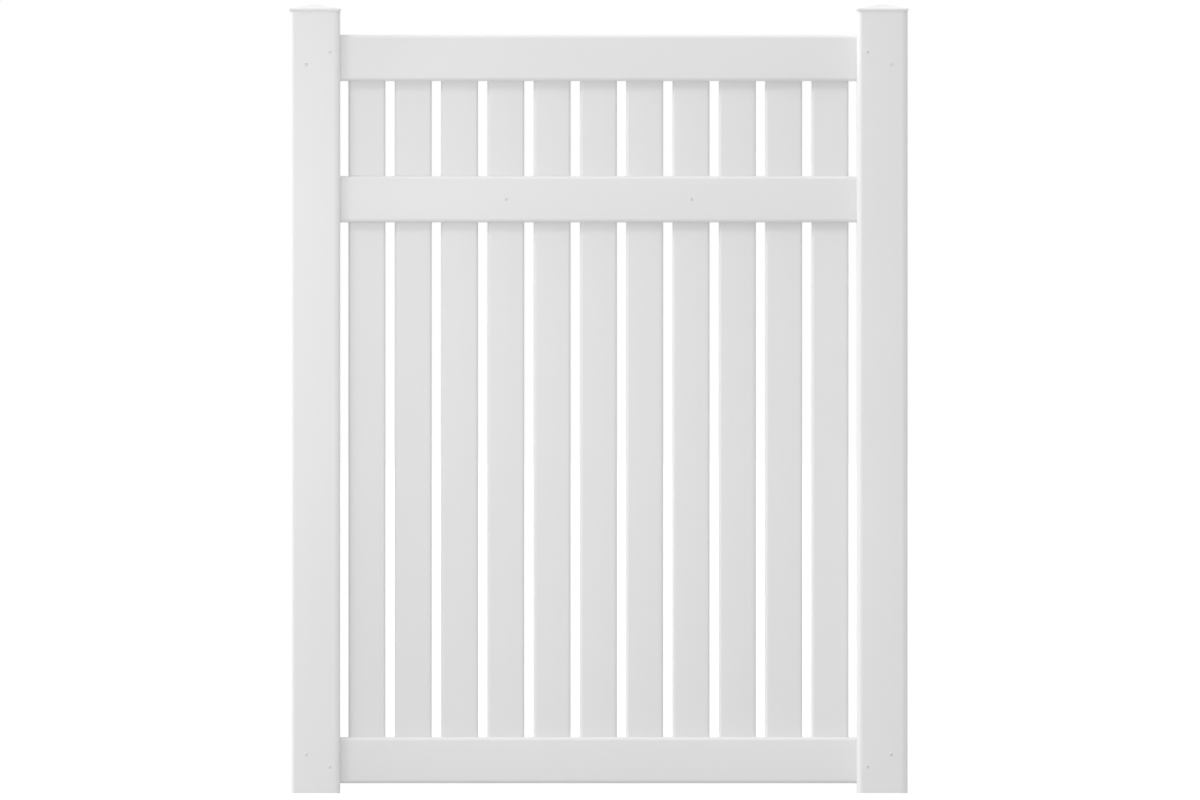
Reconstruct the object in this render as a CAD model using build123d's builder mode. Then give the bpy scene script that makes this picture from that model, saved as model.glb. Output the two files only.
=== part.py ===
"""A white vinyl fence gate leaf, seen from the front along +Y.

Two capped square uprights carry three hollow rails, and hollow pickets run down through
slots routed in the rails. The profiles are thin-walled extrusions at their real sizes.
The origin is on the left upright's outer face, in the middle of its foot.
All sizes are in millimetres.
"""

import os
from math import atan2, degrees

from build123d import *

# Pickets
PICKET_COUNT = 11
PICKET_WIDTH = 76.2
PICKET_DEPTH = 22.2
PICKET_WALL = 1.6
PICKET_CORNER = 6.4
PICKET_GAP = 19.05
PICKET_END_GAP = 16.9
PICKET_WEB = 1.2
PICKET_WEB_SPACING = 25.4
PICKET_HEADROOM = 6.0

# Rails
RAIL_DEPTH = 50.8
RAIL_HEIGHT = 95.25
RAIL_WALL = 2.5
RAIL_CORNER = 7.9
RAIL_FIN = 1.6
RAIL_FIN_HEIGHT = 8.0
RAIL_END_GAP = 1.5

# Uprights
UPRIGHT_SIDE = 104.6
UPRIGHT_WALL = 3.8
UPRIGHT_CORNER = 12.0

# Heights, from the foot of the uprights upwards
FOOT_BELOW_RAIL = 20.0
LOWER_BAY = 1058.5
UPPER_BAY = 195.5
HEAD_ABOVE_RAIL = 49.0

# Caps
CAP_OVERHANG = 1.6
CAP_CORNER = 5.0
CAP_RIM = 4.5
CAP_CROWN = 9.2
CAP_EDGE = 1.2
CAP_UNDER_EDGE = 0.5
CAP_APEX = 5.0
CAP_WALL = 2.6
CAP_PLUG_DEPTH = 22.0
CAP_PLUG_WALL = 2.2
CAP_GRIP_WIDTH = 3.0
CAP_GRIP_SPACING = 46.0

# Stiffeners: aluminium channels against the outer wall of each upright
STIFFENER_WALL = 2.5
STIFFENER_DEPTH = 18.0
STIFFENER_END_GAP = 3.0

# Brackets: moulded sleeves that centre the ends of the top and bottom rails in the uprights
BRACKET_WALL = 3.2
BRACKET_WEB = 8.0
BRACKET_CORNER = 4.0
SCREW_SPACING = 25.4

# Drain holes in the underside of the bottom rail
DRAIN_RADIUS = 4.0
DRAIN_COUNT = 3

# Clearances
RAIL_FIT = 0.4
SLOT_FIT = 0.4
FIN_FIT = 0.6
PLUG_FIT = 0.5
STIFFENER_FIT = 0.3
SMALLEST_CORNER = 0.8

# Worked out from the sizes above
picket_field = PICKET_COUNT * PICKET_WIDTH + (PICKET_COUNT - 1) * PICKET_GAP
opening_width = picket_field + 2 * PICKET_END_GAP
gate_width = opening_width + 2 * UPRIGHT_SIDE
middle_plane = Plane.YZ.offset(gate_width / 2)
picket_pitch = PICKET_WIDTH + PICKET_GAP
first_picket = UPRIGHT_SIDE + PICKET_END_GAP + PICKET_WIDTH / 2
picket_centres = [first_picket + n * picket_pitch for n in range(PICKET_COUNT)]

bottom_rail_z = FOOT_BELOW_RAIL
middle_rail_z = bottom_rail_z + RAIL_HEIGHT + LOWER_BAY
top_rail_z = middle_rail_z + RAIL_HEIGHT + UPPER_BAY
upright_length = top_rail_z + RAIL_HEIGHT + HEAD_ABOVE_RAIL
upright_bore = UPRIGHT_SIDE - 2 * UPRIGHT_WALL


def inner_corner(outer_corner, wall):
    """The corner radius inside a wall of even thickness."""
    return max(outer_corner - wall, SMALLEST_CORNER)


os.makedirs("parts", exist_ok=True)

# Uprights: square tubes, with a mortise for each rail routed in the inner wall.
# A rail rests on the lower edge of its mortise and has clearance on the other three sides.
upright_middle = UPRIGHT_SIDE / 2
upright_bore_corner = inner_corner(UPRIGHT_CORNER, UPRIGHT_WALL)
mortise_width = RAIL_DEPTH + 2 * RAIL_FIT
mortise_height = RAIL_HEIGHT + RAIL_FIT
mortise_corner = RAIL_CORNER + RAIL_FIT
mortise_plane = Plane.YZ.offset(UPRIGHT_SIDE - UPRIGHT_WALL)

with BuildPart() as left_upright:
    with BuildSketch(Plane.XY):
        with Locations((upright_middle, 0)):
            RectangleRounded(UPRIGHT_SIDE, UPRIGHT_SIDE, UPRIGHT_CORNER)
            RectangleRounded(upright_bore, upright_bore, upright_bore_corner, mode=Mode.SUBTRACT)
    extrude(amount=upright_length)
    with BuildSketch(mortise_plane):
        for rail_z in (bottom_rail_z, middle_rail_z, top_rail_z):
            with Locations((0, rail_z + mortise_height / 2)):
                RectangleRounded(mortise_width, mortise_height, mortise_corner)
    extrude(amount=UPRIGHT_WALL, mode=Mode.SUBTRACT)
left_upright.part.label = "left_upright"
export_step(left_upright.part, "parts/left_upright.step")

with BuildPart() as right_upright:
    mirror(left_upright.part, about=middle_plane)
right_upright.part.label = "right_upright"
export_step(right_upright.part, "parts/right_upright.step")

# Caps: a low four-sided crown on a square rim that stands a little proud of the upright,
# hollow inside, with a plug whose small ribs grip the bore.
cap_side = UPRIGHT_SIDE + 2 * CAP_OVERHANG
plug_side = upright_bore - 2 * PLUG_FIT
plug_corner = inner_corner(upright_bore_corner, PLUG_FIT)
plug_bore = plug_side - 2 * CAP_PLUG_WALL
plug_bore_corner = inner_corner(plug_corner, CAP_PLUG_WALL)
crown_lean = degrees(atan2((cap_side - CAP_APEX) / 2, CAP_CROWN))
hollow_height = CAP_RIM + CAP_CROWN - CAP_WALL
hollow_lean = degrees(atan2((plug_bore - CAP_APEX) / 2, hollow_height))
cap_base = Plane.XY.offset(upright_length)
crown_base = cap_base.offset(CAP_RIM)
plug_base = cap_base.offset(-CAP_PLUG_DEPTH)

with BuildPart() as left_cap:
    with BuildSketch(cap_base):
        with Locations((upright_middle, 0)):
            Rectangle(cap_side, cap_side)
    extrude(amount=CAP_RIM)
    with BuildSketch(crown_base):
        with Locations((upright_middle, 0)):
            Rectangle(cap_side, cap_side)
    extrude(amount=CAP_CROWN, taper=crown_lean)
    rim_z = crown_base.origin.Z
    fillet(edges().filter_by_position(Axis.Z, rim_z - CAP_EDGE, rim_z + CAP_EDGE), CAP_EDGE)
    with BuildSketch(cap_base):
        with Locations((upright_middle, 0)):
            RectangleRounded(cap_side, cap_side, CAP_CORNER)
    extrude(amount=CAP_RIM + CAP_CROWN, mode=Mode.INTERSECT)
    chamfer(faces().sort_by(Axis.Z)[0].edges(), CAP_UNDER_EDGE)
    with BuildSketch(cap_base):
        with Locations((upright_middle, 0)):
            RectangleRounded(plug_side, plug_side, plug_corner)
            for turn in (0, 90, 180, 270):
                with PolarLocations(plug_side / 2 + PLUG_FIT / 2, 1, turn):
                    with GridLocations(0, CAP_GRIP_SPACING, 1, 2):
                        Rectangle(PLUG_FIT, CAP_GRIP_WIDTH)
    extrude(amount=-CAP_PLUG_DEPTH)
    with BuildSketch(plug_base):
        with Locations((upright_middle, 0)):
            RectangleRounded(plug_bore, plug_bore, plug_bore_corner)
    extrude(amount=CAP_PLUG_DEPTH, mode=Mode.SUBTRACT)
    with BuildSketch(cap_base):
        with Locations((upright_middle, 0)):
            Rectangle(plug_bore, plug_bore)
    extrude(amount=hollow_height, taper=hollow_lean, mode=Mode.SUBTRACT)
left_cap.part.label = "left_cap"
export_step(left_cap.part, "parts/left_cap.step")

with BuildPart() as right_cap:
    mirror(left_cap.part, about=middle_plane)
right_cap.part.label = "right_cap"
export_step(right_cap.part, "parts/right_cap.step")

# Stiffeners: the channel's back lies on the outer wall, and its flanges lie along the others.
stiffener_width = upright_bore - 2 * STIFFENER_FIT
stiffener_corner = upright_bore_corner + STIFFENER_FIT
stiffener_middle = UPRIGHT_WALL + STIFFENER_DEPTH / 2
stiffener_top = upright_length - CAP_PLUG_DEPTH - STIFFENER_END_GAP

with BuildPart() as left_stiffener:
    with BuildSketch(Plane.XY.offset(STIFFENER_END_GAP)):
        with Locations((stiffener_middle, 0)):
            Rectangle(STIFFENER_DEPTH, stiffener_width)
        fillet(vertices().group_by(Axis.X)[0], stiffener_corner)
        with BuildSketch(mode=Mode.SUBTRACT):
            with Locations((stiffener_middle + STIFFENER_WALL, 0)):
                Rectangle(STIFFENER_DEPTH, stiffener_width - 2 * STIFFENER_WALL)
            fillet(vertices().group_by(Axis.X)[0], inner_corner(stiffener_corner, STIFFENER_WALL))
    extrude(amount=stiffener_top - STIFFENER_END_GAP)
left_stiffener.part.label = "left_stiffener"
export_step(left_stiffener.part, "parts/left_stiffener.step")

with BuildPart() as right_stiffener:
    mirror(left_stiffener.part, about=middle_plane)
right_stiffener.part.label = "right_stiffener"
export_step(right_stiffener.part, "parts/right_stiffener.step")

# Brackets: a sleeve round the rail's end, joined to the upright's walls by webs.
# The webs stand where the screws come through the upright, and the sleeve stops short
# of the rounded corners of the upright's bore.
bracket_start = UPRIGHT_WALL + STIFFENER_DEPTH
bracket_length = UPRIGHT_SIDE - UPRIGHT_WALL - upright_bore_corner - bracket_start
bracket_height = mortise_height + 2 * BRACKET_WALL
cell_inner = mortise_width / 2 + BRACKET_WALL
cell_outer = upright_bore / 2 - BRACKET_WALL
web_edges = (SCREW_SPACING - BRACKET_WEB) / 2, (SCREW_SPACING + BRACKET_WEB) / 2
cell_spans = [
    (-mortise_height / 2, -web_edges[1]),
    (-web_edges[0], web_edges[0]),
    (web_edges[1], mortise_height / 2),
]

for level, rail_z in (("bottom", bottom_rail_z), ("top", top_rail_z)):
    with BuildPart() as bracket:
        with BuildSketch(Plane.YZ.offset(bracket_start)):
            with Locations((0, rail_z + mortise_height / 2)):
                RectangleRounded(upright_bore, bracket_height, BRACKET_CORNER)
                RectangleRounded(mortise_width, mortise_height, mortise_corner, mode=Mode.SUBTRACT)
                for side in (-1, 1):
                    for low, high in cell_spans:
                        with Locations((side * (cell_inner + cell_outer) / 2, (low + high) / 2)):
                            Rectangle(cell_outer - cell_inner, high - low, mode=Mode.SUBTRACT)
        extrude(amount=bracket_length)
    bracket.part.label = f"{level}_left_bracket"
    export_step(bracket.part, f"parts/{level}_left_bracket.step")

    with BuildPart() as right_bracket:
        mirror(bracket.part, about=middle_plane)
    right_bracket.part.label = f"{level}_right_bracket"
    export_step(right_bracket.part, f"parts/{level}_right_bracket.step")

# Rails: hollow, with fins inside that guide the pickets. The slots are routed in the wall
# or walls that the pickets pass through.
rail_start = UPRIGHT_WALL + STIFFENER_WALL + RAIL_END_GAP
rail_length = gate_width - 2 * rail_start
rail_bore_depth = RAIL_DEPTH - 2 * RAIL_WALL
rail_bore_height = RAIL_HEIGHT - 2 * RAIL_WALL
slot_width = PICKET_WIDTH + 2 * SLOT_FIT
slot_depth = PICKET_DEPTH + 2 * SLOT_FIT
slot_corner = PICKET_CORNER + SLOT_FIT
fin_spacing = slot_depth + 2 * FIN_FIT + RAIL_FIN
drain_spacing = opening_width / DRAIN_COUNT


def rail(rail_z, slots_below, slots_above, drained=False):
    """A rail whose lower face is at rail_z, with picket slots in its lower and upper walls."""
    with BuildPart() as piece:
        with BuildSketch(Plane.YZ.offset(rail_start)):
            with Locations((0, rail_z + RAIL_HEIGHT / 2)):
                RectangleRounded(RAIL_DEPTH, RAIL_HEIGHT, RAIL_CORNER)
                RectangleRounded(
                    rail_bore_depth,
                    rail_bore_height,
                    inner_corner(RAIL_CORNER, RAIL_WALL),
                    mode=Mode.SUBTRACT,
                )
                with GridLocations(fin_spacing, rail_bore_height - RAIL_FIN_HEIGHT, 2, 2):
                    Rectangle(RAIL_FIN, RAIL_FIN_HEIGHT)
        extrude(amount=rail_length)
        slotted_walls = []
        if slots_below:
            slotted_walls.append(rail_z)
        if slots_above:
            slotted_walls.append(rail_z + RAIL_HEIGHT - RAIL_WALL)
        for wall_z in slotted_walls:
            with BuildSketch(Plane.XY.offset(wall_z)):
                with Locations(*[(x, 0) for x in picket_centres]):
                    RectangleRounded(slot_width, slot_depth, slot_corner)
            extrude(amount=RAIL_WALL, mode=Mode.SUBTRACT)
        if drained:
            with Locations((gate_width / 2, 0, rail_z + RAIL_WALL)):
                with GridLocations(drain_spacing, 0, DRAIN_COUNT, 1):
                    Hole(DRAIN_RADIUS, RAIL_WALL)
    return piece


top_rail = rail(top_rail_z, slots_below=True, slots_above=False)
top_rail.part.label = "top_rail"
export_step(top_rail.part, "parts/top_rail.step")

middle_rail = rail(middle_rail_z, slots_below=True, slots_above=True)
middle_rail.part.label = "middle_rail"
export_step(middle_rail.part, "parts/middle_rail.step")

bottom_rail = rail(bottom_rail_z, slots_below=False, slots_above=True, drained=True)
bottom_rail.part.label = "bottom_rail"
export_step(bottom_rail.part, "parts/bottom_rail.step")

# Pickets: each stands on the floor of the bottom rail and stops short of the top rail's roof.
picket_foot = bottom_rail_z + RAIL_WALL
picket_head = top_rail_z + RAIL_HEIGHT - RAIL_WALL - PICKET_HEADROOM
picket_bore_depth = PICKET_DEPTH - 2 * PICKET_WALL

for number, centre in enumerate(picket_centres, start=1):
    with BuildPart() as picket:
        with BuildSketch(Plane.XY.offset(picket_foot)):
            with Locations((centre, 0)):
                RectangleRounded(PICKET_WIDTH, PICKET_DEPTH, PICKET_CORNER)
                RectangleRounded(
                    PICKET_WIDTH - 2 * PICKET_WALL,
                    picket_bore_depth,
                    inner_corner(PICKET_CORNER, PICKET_WALL),
                    mode=Mode.SUBTRACT,
                )
                with GridLocations(PICKET_WEB_SPACING, 0, 2, 1):
                    Rectangle(PICKET_WEB, picket_bore_depth)
        extrude(amount=picket_head - picket_foot)
    picket.part.label = f"picket_{number:02d}"
    export_step(picket.part, f"parts/picket_{number:02d}.step")
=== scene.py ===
import math

import bmesh
import bpy
from mathutils import Matrix, Vector


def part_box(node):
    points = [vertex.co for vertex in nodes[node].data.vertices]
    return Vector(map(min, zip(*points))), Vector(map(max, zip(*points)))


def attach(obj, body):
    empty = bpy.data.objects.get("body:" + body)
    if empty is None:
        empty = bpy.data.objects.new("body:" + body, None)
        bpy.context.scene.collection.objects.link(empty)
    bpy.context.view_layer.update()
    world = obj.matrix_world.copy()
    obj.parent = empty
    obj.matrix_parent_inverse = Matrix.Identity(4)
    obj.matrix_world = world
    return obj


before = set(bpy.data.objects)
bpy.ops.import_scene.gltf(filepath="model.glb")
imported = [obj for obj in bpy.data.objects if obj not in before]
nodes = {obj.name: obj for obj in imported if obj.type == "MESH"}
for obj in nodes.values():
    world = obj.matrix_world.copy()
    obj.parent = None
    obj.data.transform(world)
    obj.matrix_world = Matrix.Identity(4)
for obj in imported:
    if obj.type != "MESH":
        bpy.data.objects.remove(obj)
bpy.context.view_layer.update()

scene = bpy.context.scene

left_low, left_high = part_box("left_upright")
_, right_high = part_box("right_upright")
front_y = left_low.y
back_y = left_high.y
gate_right = right_high.x


def add_object(name, data):
    """A new object in the scene."""
    obj = bpy.data.objects.new(name, data)
    scene.collection.objects.link(obj)
    return obj


# Materials

class Nodes:
    """Short ways to add nodes to the tree of a material or of the world."""

    def __init__(self, owner):
        owner.use_nodes = True
        self.owner = owner
        self.tree = owner.node_tree
        self.shader = self.tree.nodes.get("Principled BSDF")
        self.coords = self.tree.nodes.new("ShaderNodeTexCoord")

    def fill(self, socket, value):
        """Links an input to another node's output, or sets it to a plain value."""
        if isinstance(value, bpy.types.NodeSocket):
            self.tree.links.new(value, socket)
        else:
            socket.default_value = value

    def put(self, node, **inputs):
        """Fills a node's inputs by their names, with _ for a space."""
        for name, value in inputs.items():
            self.fill(node.inputs[name.replace("_", " ")], value)
        return node

    def add(self, kind, **inputs):
        return self.put(self.tree.nodes.new(kind), **inputs)

    def noise(self, stretch, scale, detail):
        """Noise in the object's own space, with its scale multiplied along each axis."""
        mapping = self.add("ShaderNodeMapping", Scale=stretch,
                           Vector=self.coords.outputs["Object"])
        noise = self.add("ShaderNodeTexNoise", Scale=scale, Detail=detail,
                         Roughness=NOISE_ROUGHNESS, Vector=mapping.outputs["Vector"])
        return noise.outputs["Fac"]

    def ramp(self, value, low, high, to_low=0.0, to_high=1.0):
        node = self.add("ShaderNodeMapRange", From_Min=low, From_Max=high,
                        To_Min=to_low, To_Max=to_high, Value=value)
        return node.outputs["Result"]

    def calc(self, kind, a, b):
        node = self.tree.nodes.new("ShaderNodeMath")
        node.operation = kind
        for socket, value in zip(node.inputs, (a, b)):
            self.fill(socket, value)
        return node.outputs["Value"]

    def plus(self, value, other, share):
        """A value with a share of another one added."""
        return self.calc("ADD", value, self.calc("MULTIPLY", other, share))

    def blend(self, factor, first, second):
        """The first colour, going over to the second one as the factor goes from 0 to 1."""
        node = self.tree.nodes.new("ShaderNodeMix")
        node.data_type = "RGBA"
        self.fill(node.inputs["Factor"], factor)
        for name, value in (("A", first), ("B", second)):
            socket = [s for s in node.inputs if s.name == name and s.type == "RGBA"][0]
            self.fill(socket, (*value, 1.0) if isinstance(value, tuple) else value)
        return [s for s in node.outputs if s.type == "RGBA"][0]

    def bump(self, height, strength, distance, before=None):
        node = self.add("ShaderNodeBump", Strength=strength, Distance=distance, Height=height)
        if before is not None:
            self.fill(node.inputs["Normal"], before)
        return node.outputs["Normal"]

    def seen_directly(self):
        """1 for the rays that show a surface itself: camera, glossy and transmission rays."""
        path = self.add("ShaderNodeLightPath")
        value = path.outputs["Is Camera Ray"]
        for ray in ("Is Glossy Ray", "Is Transmission Ray"):
            value = self.calc("MAXIMUM", value, path.outputs[ray])
        return value


NOISE_ROUGHNESS = 0.5
EVEN = (1.0, 1.0, 1.0)
PLASTIC_IOR = 1.53
PAINT_IOR = 1.5

WHITE = (0.838, 0.838, 0.838)
WHITE_SHADE = (0.820, 0.820, 0.820)
PICKET_WHITE = (0.829, 0.829, 0.829)
PICKET_SHADE = (0.811, 0.811, 0.811)
BRACKET_GREY = (0.70, 0.70, 0.69)
BRACKET_SHADE = (0.66, 0.66, 0.65)
ALUMINIUM_PALE = (0.74, 0.75, 0.76)
ALUMINIUM_DARK = (0.64, 0.65, 0.67)
SCREW_WHITE = (0.82, 0.82, 0.82)
# Painted shade: the darker colour that the screw's paint takes down in its recess.
SCREW_RECESS_SHADE = (0.66, 0.66, 0.66)
ZINC_PALE = (0.62, 0.62, 0.60)
ZINC_DARK = (0.50, 0.51, 0.52)

# Cut ends of the vinyl: how squarely a face looks along the profile to count as one, and how
# its colour and roughness differ.
CUT_END_FACING = 0.98
CUT_END_TINT = 0.965
CUT_END_ROUGHER = 0.22
SAW_MARK_HEIGHT = 3.0

RECESS_SHADE_REACH = 0.002
PAINT_SPECK_TINT = 0.95


def stretch(axis, along, across):
    """Noise scales for X, Y and Z: one value along an axis and another across it."""
    return tuple(along if name == axis else across for name in "XYZ")


def tinted(colour, tint):
    return tuple(tint * c for c in colour)


def new_material(name):
    return Nodes(bpy.data.materials.new(name))


def vinyl(name, along, colour, shade, roughness):
    """Extruded white vinyl: faint die lines along the profile and saw marks on its cut ends."""
    n = new_material(name)
    cloud = n.noise(EVEN, scale=2.3, detail=2.0)
    lines = n.noise(stretch(along, 0.6, 260.0), scale=1.0, detail=2.0)
    waves = n.noise(stretch(along, 0.7, 14.0), scale=1.0, detail=1.0)
    grain = n.noise(EVEN, scale=900.0, detail=2.0)
    body = n.blend(n.ramp(n.plus(cloud, lines, 0.35), 0.35, 1.0), colour, shade)

    geometry = n.add("ShaderNodeNewGeometry")
    split = n.add("ShaderNodeSeparateXYZ", Vector=geometry.outputs["True Normal"])
    facing = n.calc("ABSOLUTE", split.outputs[along], 0.0)
    cut_end = n.calc("GREATER_THAN", facing, CUT_END_FACING)
    saw_axis = "X" if along == "Z" else "Z"
    saw = n.noise(stretch(saw_axis, 520.0, 60.0), scale=1.0, detail=2.0)

    rough = n.ramp(n.plus(waves, grain, 0.3), 0.3, 1.0, roughness - 0.05, roughness + 0.07)
    height = n.plus(n.calc("MULTIPLY", lines, 0.5), grain, 0.5)
    height = n.plus(height, n.calc("MULTIPLY", saw, cut_end), SAW_MARK_HEIGHT)
    fine = n.bump(height, 0.25, 0.00012)
    n.put(n.shader, IOR=PLASTIC_IOR,
          Base_Color=n.blend(cut_end, body, tinted(colour, CUT_END_TINT)),
          Roughness=n.plus(rough, cut_end, CUT_END_ROUGHER),
          Normal=n.bump(waves, 0.12, 0.0006, fine))
    return n.owner


def moulded(name, colour, shade, roughness, grain_depth):
    """Moulded plastic: an even, fine-grained skin with slight flow marks."""
    n = new_material(name)
    flow = n.noise(stretch("Z", 0.35, 1.0), scale=28.0, detail=3.0)
    grain = n.noise(EVEN, scale=1600.0, detail=2.0)
    fine = n.bump(grain, 0.3, grain_depth)
    n.put(n.shader, IOR=PLASTIC_IOR,
          Base_Color=n.blend(n.ramp(flow, 0.3, 0.75), colour, shade),
          Roughness=n.ramp(grain, 0.3, 0.7, roughness - 0.04, roughness + 0.05),
          Normal=n.bump(flow, 0.1, 0.0004, fine))
    return n.owner


def aluminium(name, pale, dark):
    """Mill-finish aluminium with drawn lines along its length."""
    n = new_material(name)
    lines = n.noise(stretch("Z", 3.0, 900.0), scale=1.0, detail=3.0)
    cloud = n.noise(stretch("Z", 0.3, 1.0), scale=12.0, detail=3.0)
    n.put(n.shader, Metallic=1.0,
          Base_Color=n.blend(n.ramp(cloud, 0.3, 0.7), pale, dark),
          Roughness=n.ramp(n.calc("ADD", lines, cloud), 0.7, 1.3, 0.32, 0.5),
          Normal=n.bump(lines, 0.3, 0.0001))
    return n.owner


def painted(name, colour, recess_shade_colour):
    """Painted screw head: satin paint, with painted shade that darkens it down in the recess."""
    n = new_material(name)
    speck = n.noise(EVEN, scale=700.0, detail=3.0)
    # Painted shade: where ambient occlusion finds the recess, the paint goes over to the darker
    # recess colour.
    occlusion = n.add("ShaderNodeAmbientOcclusion", Distance=RECESS_SHADE_REACH)
    openness = n.ramp(occlusion.outputs["AO"], 0.35, 0.95)
    paint = n.blend(n.ramp(speck, 0.3, 0.7), colour, tinted(colour, PAINT_SPECK_TINT))
    n.put(n.shader, IOR=PAINT_IOR,
          Base_Color=n.blend(openness, recess_shade_colour, paint),
          Roughness=n.ramp(speck, 0.3, 0.7, 0.34, 0.46),
          Normal=n.bump(speck, 0.2, 0.00004))
    return n.owner


def zinc(name, pale, dark):
    """Zinc-plated steel for the screw's shank."""
    n = new_material(name)
    cloud = n.noise(EVEN, scale=400.0, detail=3.0)
    n.put(n.shader, Metallic=1.0,
          Base_Color=n.blend(n.ramp(cloud, 0.3, 0.7), pale, dark),
          Roughness=n.ramp(cloud, 0.3, 0.7, 0.25, 0.42))
    return n.owner


NODE_MATERIALS = {
    "upright": vinyl("vinyl_upright", "Z", WHITE, WHITE_SHADE, 0.36),
    "rail": vinyl("vinyl_rail", "X", WHITE, WHITE_SHADE, 0.36),
    "picket": vinyl("vinyl_picket", "Z", PICKET_WHITE, PICKET_SHADE, 0.38),
    "cap": moulded("cap_white", WHITE, WHITE_SHADE, 0.33, 0.00005),
    "bracket": moulded("bracket_plastic", BRACKET_GREY, BRACKET_SHADE, 0.5, 0.0001),
    "stiffener": aluminium("stiffener_aluminium", ALUMINIUM_PALE, ALUMINIUM_DARK),
}
screw_paint = painted("screw_paint", SCREW_WHITE, SCREW_RECESS_SHADE)
screw_zinc = zinc("screw_zinc", ZINC_PALE, ZINC_DARK)


# Frame nodes

WELD_DISTANCE = 0.00001
NODE_EDGE_DEGREES = 28.0
SCREW_EDGE_DEGREES = 35.0


def sharpen(obj, degrees):
    """Splits an object's smooth shading at edges sharper than an angle."""
    edge = obj.modifiers.new("edge", "EDGE_SPLIT")
    edge.split_angle = math.radians(degrees)


def dress(node, material):
    """Gives a CAD node its material and smooth shading that stays sharp at real edges."""
    obj = nodes[node]
    obj.data.materials.clear()
    obj.data.materials.append(material)
    obj.data.polygons.foreach_set("use_smooth", [True] * len(obj.data.polygons))
    weld = obj.modifiers.new("weld", "WELD")
    weld.merge_threshold = WELD_DISTANCE
    sharpen(obj, NODE_EDGE_DEGREES)


for name in nodes:
    dress(name, next(NODE_MATERIALS[kind] for kind in NODE_MATERIALS if kind in name))


# Screws

HEAD_RADIUS = 0.0040
HEAD_HEIGHT = 0.0015
HEAD_STEPS = 48
UNDERSIDE_SHARE = 0.98  # of the head's radius
RIM_SHARE = 0.12        # of the head's height, before the dome begins
DOME_ROWS = 8

RECESS_DEPTH = 0.0012
RECESS_REACH = 0.00215
RECESS_TIP_REACH = 0.0007
BLADE_HALF = 0.00042
BLADE_TIP_SHARE = 0.6
CUTTER_ABOVE_HEAD = 1.3
CUTTER_REACH_SHARE = 1.1
CUTTER_HALF_SHARE = 1.15

SHANK_RADIUS = 0.0019
SHANK_LENGTH = 0.025
SHANK_STEPS = 16
THREAD_PITCH = 0.0018
THREAD_DEPTH = 0.0005
THREADED_SHARE = 0.8    # of the shank's length
ROWS_PER_TURN = 4
POINT_BASE_SHARE = 0.9  # of the shank's radius
POINT_START_SHARE = 0.84


def spin_profile(bm, profile, steps):
    """Turns a list of (radius, depth) about the local Y axis, and returns the rings."""
    rings = []
    for radius, depth in profile:
        if radius == 0:
            rings.append([bm.verts.new((0.0, depth, 0.0))])
            continue
        ring = []
        for k in range(steps):
            angle = 2 * math.pi * k / steps
            ring.append(bm.verts.new((radius * math.cos(angle), depth, radius * math.sin(angle))))
        rings.append(ring)
    for first, second in zip(rings, rings[1:]):
        for k in range(steps):
            a, b = first[k % len(first)], first[(k + 1) % len(first)]
            c, d = second[(k + 1) % len(second)], second[k % len(second)]
            corners = []
            for vert in (a, b, c, d):
                if vert not in corners:
                    corners.append(vert)
            bm.faces.new(corners)
    return rings


def as_mesh(bm, name):
    """Writes a bmesh into a new mesh and frees it."""
    mesh = bpy.data.meshes.new(name)
    bm.to_mesh(mesh)
    bm.free()
    return mesh


def as_closed_mesh(bm, name):
    """The same for a closed form, whose faces are first turned outwards."""
    bmesh.ops.recalc_face_normals(bm, faces=bm.faces)
    return as_mesh(bm, name)


def head_mesh():
    """A low domed head. Its underside is at y = 0 and it looks along -Y."""
    bm = bmesh.new()
    profile = [(0.0, 0.0), (HEAD_RADIUS * UNDERSIDE_SHARE, 0.0),
               (HEAD_RADIUS, -HEAD_HEIGHT * RIM_SHARE)]
    for k in range(1, DOME_ROWS + 1):
        angle = math.radians(90.0 * k / DOME_ROWS)
        radius = HEAD_RADIUS * math.cos(angle) if k < DOME_ROWS else 0.0
        rise = RIM_SHARE + (1 - RIM_SHARE) * math.sin(angle)
        profile.append((radius, -HEAD_HEIGHT * rise))
    spin_profile(bm, profile, HEAD_STEPS)
    return as_closed_mesh(bm, "screw_head")


def recess_mesh():
    """The tool that cuts the cross: two crossed blades that taper to a blunt end."""
    bm = bmesh.new()
    top = (-HEAD_HEIGHT * CUTTER_ABOVE_HEAD, RECESS_REACH * CUTTER_REACH_SHARE,
           BLADE_HALF * CUTTER_HALF_SHARE)
    tip = (-HEAD_HEIGHT + RECESS_DEPTH, RECESS_TIP_REACH, BLADE_HALF * BLADE_TIP_SHARE)
    for turn in (0.0, math.pi / 2):
        c, s = math.cos(turn), math.sin(turn)
        points = []
        for depth, reach, half in (top, tip):
            for sx, sz in ((-1, -1), (1, -1), (1, 1), (-1, 1)):
                x, z = sx * reach, sz * half
                points.append(bm.verts.new((x * c - z * s, depth, x * s + z * c)))
        bm.faces.new(points[:4])
        bm.faces.new(points[7:3:-1])
        for k in range(4):
            j = (k + 1) % 4
            bm.faces.new((points[k], points[k + 4], points[j + 4], points[j]))
    return as_closed_mesh(bm, "screw_recess")


def shank_mesh():
    """A threaded shank that runs from the head along +Y to a point."""
    bm = bmesh.new()
    rows = int(SHANK_LENGTH * THREADED_SHARE / THREAD_PITCH * ROWS_PER_TURN)
    profile = []
    for k in range(rows + 1):
        crest = THREAD_DEPTH if k % ROWS_PER_TURN == ROWS_PER_TURN // 2 else 0.0
        profile.append((SHANK_RADIUS + crest, k * SHANK_LENGTH * THREADED_SHARE / rows))
    profile.append((SHANK_RADIUS * POINT_BASE_SHARE, SHANK_LENGTH * POINT_START_SHARE))
    profile.append((0.0, SHANK_LENGTH))
    rings = spin_profile(bm, profile, SHANK_STEPS)
    bm.faces.new(rings[0])
    for row in range(1, rows):
        for k, vert in enumerate(rings[row]):
            vert.co.y += THREAD_PITCH * k / SHANK_STEPS
    return as_closed_mesh(bm, "screw_shank")


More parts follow.
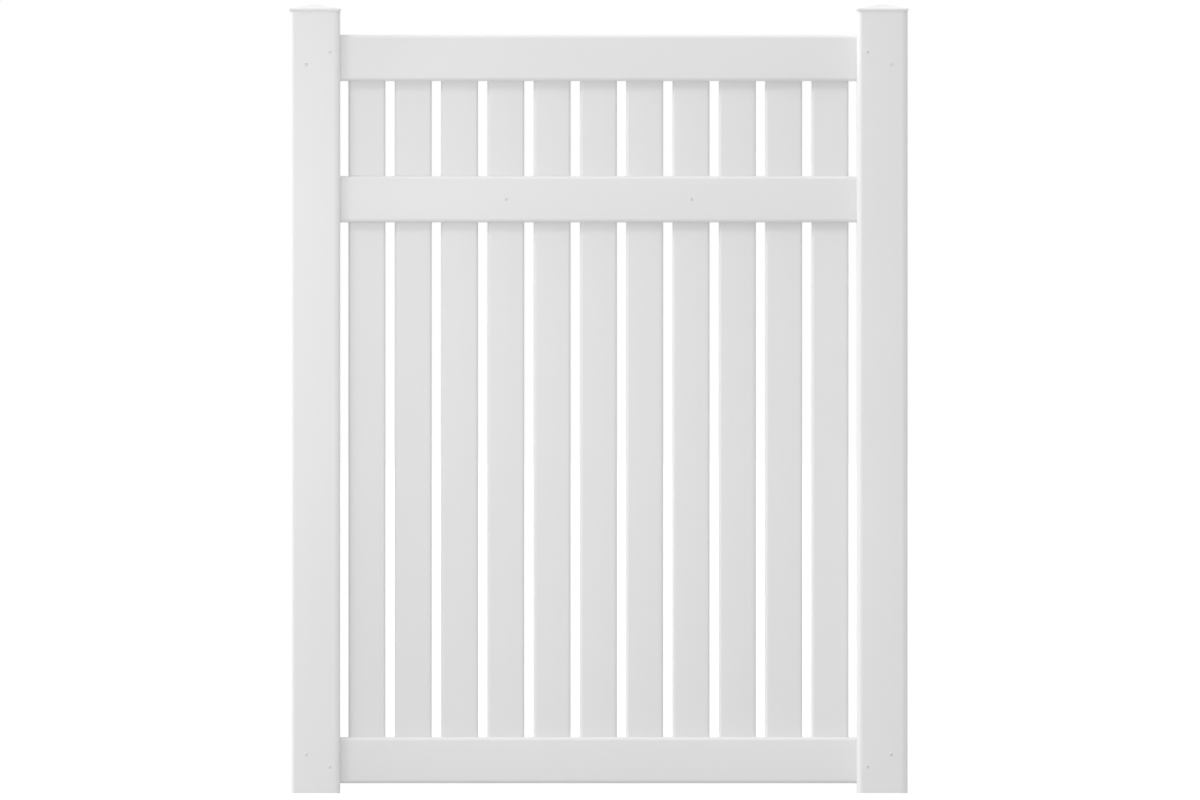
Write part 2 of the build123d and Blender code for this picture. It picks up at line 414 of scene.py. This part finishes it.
def cut_mesh(body, cutter):
    """The body less the cutter, as a new mesh."""
    first = add_object("cut_body", body)
    second = add_object("cut_tool", cutter)
    step = first.modifiers.new("cut", "BOOLEAN")
    step.operation = "DIFFERENCE"
    step.solver = "EXACT"
    step.use_self = True
    step.object = second
    bpy.context.view_layer.update()
    graph = bpy.context.evaluated_depsgraph_get()
    mesh = bpy.data.meshes.new_from_object(first.evaluated_get(graph))
    for obj in (first, second):
        bpy.data.objects.remove(obj)
    return mesh


def screw_mesh():
    """The head with its recess, and the shank, in one mesh with two material slots."""
    bm = bmesh.new()
    bm.from_mesh(cut_mesh(head_mesh(), recess_mesh()))
    head_faces = len(bm.faces)
    bm.from_mesh(shank_mesh())
    for index, face in enumerate(bm.faces):
        face.material_index = 0 if index < head_faces else 1
        face.smooth = True
    mesh = as_mesh(bm, "screw")
    mesh.materials.append(screw_paint)
    mesh.materials.append(screw_zinc)
    return mesh


def place_screw(name, x, y, z, front, turn):
    """A screw with its head's underside on the face at y, turned about its own axis."""
    obj = add_object(name, screw)
    facing = Matrix.Identity(4) if front else Matrix.Rotation(math.pi, 4, "Z")
    obj.matrix_world = Matrix.Translation((x, y, z)) @ facing @ Matrix.Rotation(turn, 4, "Y")
    sharpen(obj, SCREW_EDGE_DEGREES)
    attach(obj, "root")


# On each upright, front and back, each end of the top and bottom rails has one screw near the
# upright's outer side and one near its inner side. Distances are from the upright's outer side.
OUTER_SCREW = 0.0345
INNER_SCREW = 0.0832
SCREW_HALF_STEP = 0.0127
SCREWED_PICKETS = ("picket_04", "picket_08")
TURN_STEP_DEGREES = 37
FULL_TURN_DEGREES = 90  # a cross looks the same after a quarter turn

screw = screw_mesh()
screw_places = []
for level, outer_up in (("top", -1), ("bottom", 1)):
    low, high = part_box(f"{level}_rail")
    middle = (low.z + high.z) / 2
    for side in ("left", "right"):
        for inset, up in ((OUTER_SCREW, outer_up), (INNER_SCREW, -outer_up)):
            x = inset if side == "left" else gate_right - inset
            z = middle + up * SCREW_HALF_STEP
            for front in (True, False):
                face = front_y if front else back_y
                screw_places.append((f"{level}_{side}", x, face, z, front))

# The middle rail has one in front of each of two pickets, on its front only.
rail_low, rail_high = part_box("middle_rail")
for picket in SCREWED_PICKETS:
    low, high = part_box(picket)
    screw_places.append(("middle", (low.x + high.x) / 2, rail_low.y,
                         (rail_low.z + rail_high.z) / 2, True))

for number, (group, x, y, z, front) in enumerate(screw_places, 1):
    turn = math.radians(number * TURN_STEP_DEGREES % FULL_TURN_DEGREES)
    place_screw(f"{group}_screw_{number:02d}", x, y, z, front, turn)


# Floor, background and lamps

SKY_LEVEL = 0.42
SKY_TOP = 0.65  # added straight overhead
PLAIN_WHITE = (1.0, 1.0, 1.0, 1.0)
FLOOR_REACH = 400.0
FLOOR_DROP = 0.07
FLOOR_WHITE = (1.0, 1.0, 1.0)
FLOOR_BOUNCE = (0.60, 0.60, 0.60)

# Suns: direction towards the sun, level and width in degrees.
KEY_SUN = ((-0.407, -0.484, 0.775), 0.17, 10.0)
SIDE_SUN = ((-0.95, -0.04, 0.25), 0.43, 26.0)
FRONT_LAMP_PLACE = (0.0, -1.5, 1.15)
FRONT_LAMP_AIM = (0.3, 0.0, 1.0)
FRONT_LAMP_WATTS = 3.0
FRONT_LAMP_SIZE = 0.8


def studio_world():
    """A soft sky that is brighter overhead. It shows as plain white behind the gate."""
    world = bpy.data.worlds.new("studio")
    world.use_nodes = True
    world.node_tree.nodes.clear()
    n = Nodes(world)
    parts = n.add("ShaderNodeSeparateXYZ", Vector=n.coords.outputs["Generated"])
    level = n.ramp(parts.outputs["Z"], 0.0, 1.0, SKY_LEVEL, SKY_LEVEL + SKY_TOP)
    sky = n.add("ShaderNodeBackground", Color=PLAIN_WHITE, Strength=level)
    white = n.add("ShaderNodeBackground", Color=PLAIN_WHITE, Strength=1.0)
    mix = n.add("ShaderNodeMixShader", Fac=n.seen_directly())
    n.fill(mix.inputs[1], sky.outputs["Background"])
    n.fill(mix.inputs[2], white.outputs["Background"])
    n.add("ShaderNodeOutputWorld", Surface=mix.outputs["Shader"])
    return world


def floor_material():
    """A matt floor that shows as white but for the gate's shadow, and throws less light back."""
    n = new_material("floor_white")
    n.put(n.shader, Roughness=1.0, Specular_IOR_Level=0.0,
          Base_Color=n.blend(n.seen_directly(), FLOOR_BOUNCE, FLOOR_WHITE))
    return n.owner


def floor_plane():
    """A wide floor a hand's breadth under the gate, which hangs clear of the ground."""
    bm = bmesh.new()
    bmesh.ops.create_grid(bm, x_segments=1, y_segments=1, size=FLOOR_REACH,
                          matrix=Matrix.Translation((0.0, 0.0, -FLOOR_DROP)))
    mesh = as_mesh(bm, "floor")
    mesh.materials.append(floor_material())
    return add_object("floor", mesh)


def lamp(name, kind, place, aim):
    """A lamp at a place that looks at a point."""
    obj = add_object(name, bpy.data.lights.new(name, kind))
    obj.location = place
    obj.rotation_mode = "QUATERNION"
    obj.rotation_quaternion = (aim - place).to_track_quat("-Z", "Y")
    return obj


def soft_sun(name, direction, level, degrees):
    """A wide sun from a direction. At level 1 a white face turned to it shows as white."""
    obj = lamp(name, "SUN", Vector(direction), Vector())
    obj.data.energy = level * math.pi
    obj.data.angle = math.radians(degrees)


def front_lamp():
    """A small soft box before the gate's left edge, from where its faces fade a little."""
    obj = lamp("front", "AREA", Vector(FRONT_LAMP_PLACE), Vector(FRONT_LAMP_AIM))
    obj.data.energy = FRONT_LAMP_WATTS
    obj.data.size = FRONT_LAMP_SIZE
    obj.visible_camera = False


scene.world = studio_world()
floor = floor_plane()

soft_sun("key", *KEY_SUN)
soft_sun("side", *SIDE_SUN)
front_lamp()


# Camera: the photo's frame in metres at the gate's front, and a long lens for its flat view

PHOTO_WIDTH_PX = 1200
METRES_PER_PX = 0.0020557
FRAME_WIDTH = PHOTO_WIDTH_PX * METRES_PER_PX
VIEW_CENTRE_X = 0.63904
VIEW_CENTRE_Z = 0.8085
LENS_MM = 1000.0
SENSOR_MM = 36.0
CLIP_END = 1000.0

camera = bpy.data.cameras.new("camera")
camera.type = "PERSP"
camera.lens = LENS_MM
camera.sensor_width = SENSOR_MM
camera.clip_end = CLIP_END
camera_obj = add_object("camera", camera)
camera_distance = FRAME_WIDTH * LENS_MM / SENSOR_MM
camera_obj.location = (VIEW_CENTRE_X, front_y - camera_distance, VIEW_CENTRE_Z)
camera_obj.rotation_euler = (math.pi / 2, 0.0, 0.0)
scene.camera = camera_obj

scene.view_settings.view_transform = "Standard"
